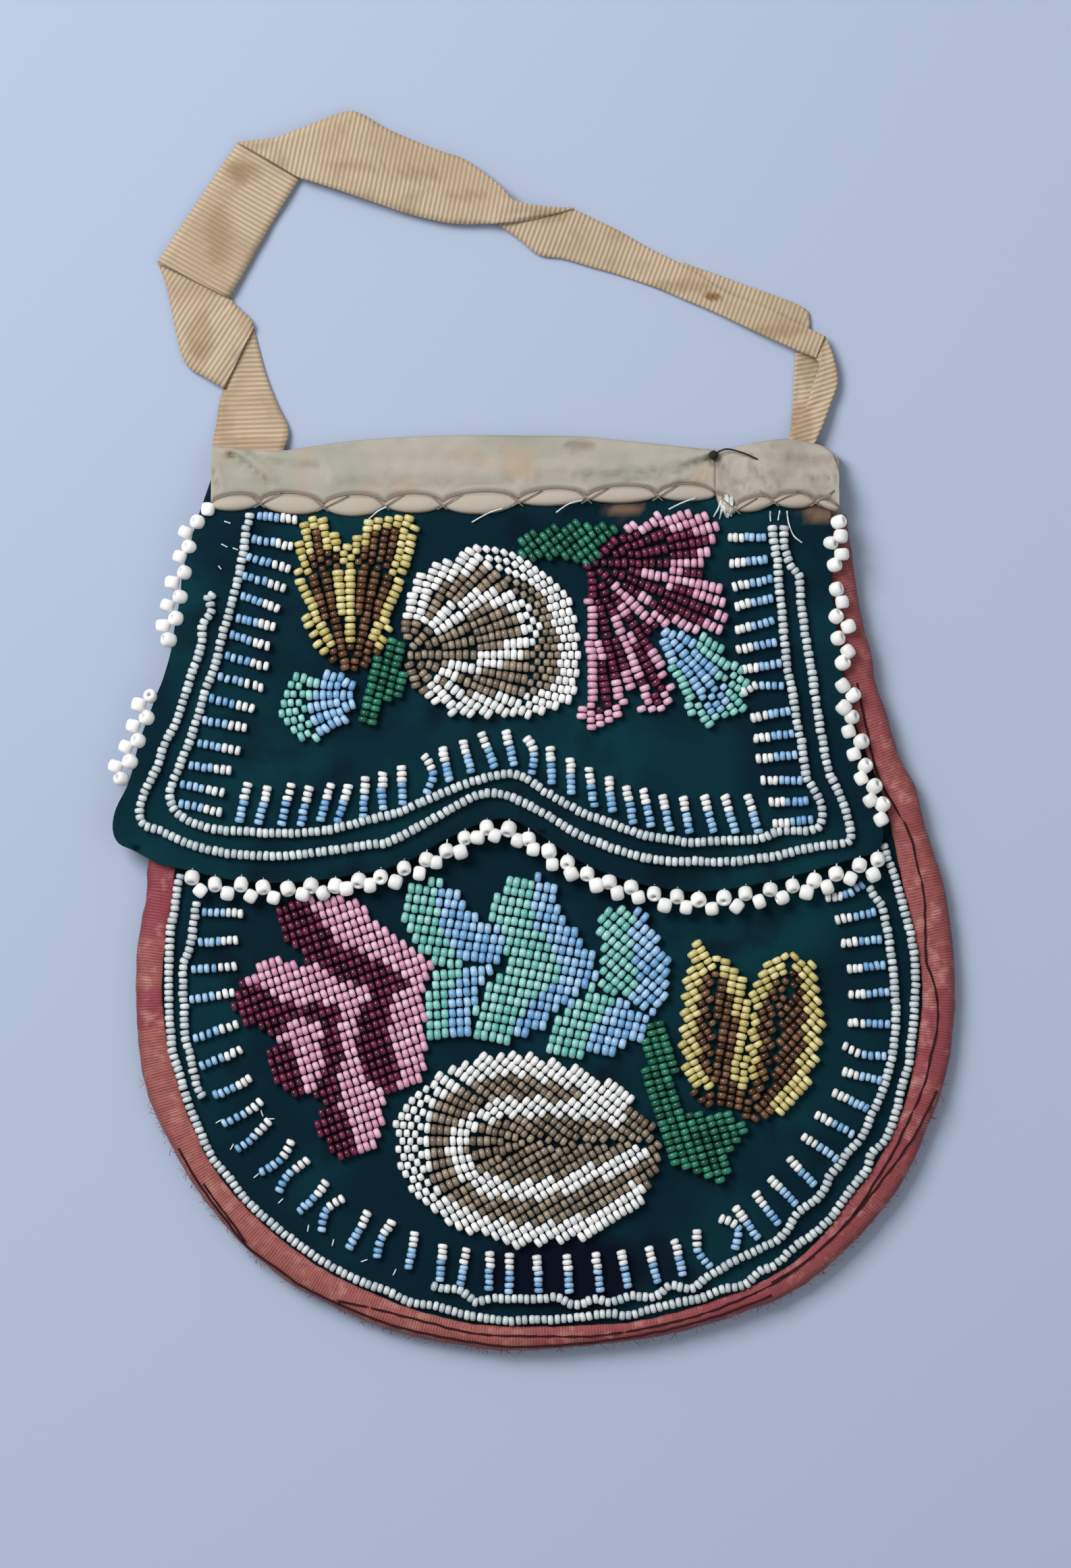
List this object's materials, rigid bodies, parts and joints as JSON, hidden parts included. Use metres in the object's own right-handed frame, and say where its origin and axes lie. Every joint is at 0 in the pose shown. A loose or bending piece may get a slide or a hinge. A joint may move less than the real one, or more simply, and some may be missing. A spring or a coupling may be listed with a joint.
{
  "type": "beaded bag",
  "caption": "Small velvet flap bag with glass seed beadwork of flowers and leaves, bound edges and a folded ribbon handle, lying on its back.",
  "frame": {"origin": "near the middle of the back panel's flat outer face, which is flush with the bindings' back lips", "axes": "+Z out of the beaded front, +Y towards the handle, +X to the right as the front is seen"},
  "size_m": [0.1774, 0.2601, 0.0116],
  "materials": {
    "velvet": "worn dark teal velvet",
    "lining_cotton": "plain unbleached cotton",
    "red_silk": "ribbed silk tape, faded",
    "cream_cotton": "soft cream cotton, stained",
    "cream_patch": "paler mended cotton",
    "tan_ribbon": "grosgrain ribbon, stained",
    "string_beads": "grey white glass",
    "edge_beads": "glossy white glass",
    "white_beads": "chalk white glass",
    "brown_beads": "brown glass with gold edges",
    "blue_beads": "light blue glass",
    "green_beads": "dark green glass",
    "mint_beads": "mint and blue glass",
    "tan_beads": "tan glass",
    "maroon_beads": "dark red glass",
    "pink_beads": "pink glass"
  },
  "bodies": {
    "root": {"back_panel": "velvet", "front_panel": "velvet", "flap_panel": "velvet", "back_lining": "lining_cotton", "front_lining": "lining_cotton", "flap_lining": "lining_cotton", "side_binding": "red_silk", "top_binding": "cream_cotton", "top_binding_patch": "cream_patch", "ribbon_handle": "tan_ribbon", "flap_outer_string": "string_beads", "flap_fringe": "string_beads", "body_outer_string": "string_beads", "body_fringe_left": "string_beads", "body_fringe_right": "string_beads", "body_loose_bar_1": "blue_beads", "body_loose_bar_2": "blue_beads", "body_loose_bar_3": "blue_beads", "body_loose_bar_4": "blue_beads", "body_loose_bar_5": "blue_beads", "body_loose_bar_6": "blue_beads", "body_loose_bar_7": "blue_beads", "body_loose_bar_8": "blue_beads", "body_loose_bar_9": "blue_beads", "body_loose_bar_10": "blue_beads", "edge_beads_bottom": "edge_beads", "edge_beads_left_upper": "edge_beads", "edge_beads_left_lower": "edge_beads", "edge_beads_right_upper": "edge_beads", "edge_beads_right_lower": "edge_beads", "flap_yellow_leaf": "brown_beads", "body_yellow_leaf": "brown_beads", "flap_blue_bud": "blue_beads", "flap_green_left": "green_beads", "flap_green_top": "green_beads", "body_green_stem": "green_beads", "flap_teal_leaf": "mint_beads", "body_teal_leaf_1": "mint_beads", "body_teal_leaf_2": "mint_beads", "body_teal_leaf_3": "mint_beads", "flap_shell_rim": "white_beads", "flap_shell_band": "white_beads", "body_oval_rim": "white_beads", "body_oval_band": "white_beads", "flap_shell_field": "tan_beads", "body_oval_field": "tan_beads", "flap_flower_top": "maroon_beads", "flap_flower_middle": "maroon_beads", "flap_flower_left": "maroon_beads", "flap_flower_right": "maroon_beads", "body_petal_one": "maroon_beads", "body_petal_two": "maroon_beads", "body_petal_three": "maroon_beads", "body_petal_four": "maroon_beads", "body_petal_five": "maroon_beads", "flap_flower_top_edge": "pink_beads", "flap_flower_left_edge": "pink_beads", "body_petal_one_edge": "pink_beads", "body_petal_two_edge": "pink_beads", "body_petal_five_edge": "pink_beads"}
  },
  "joints": []
}
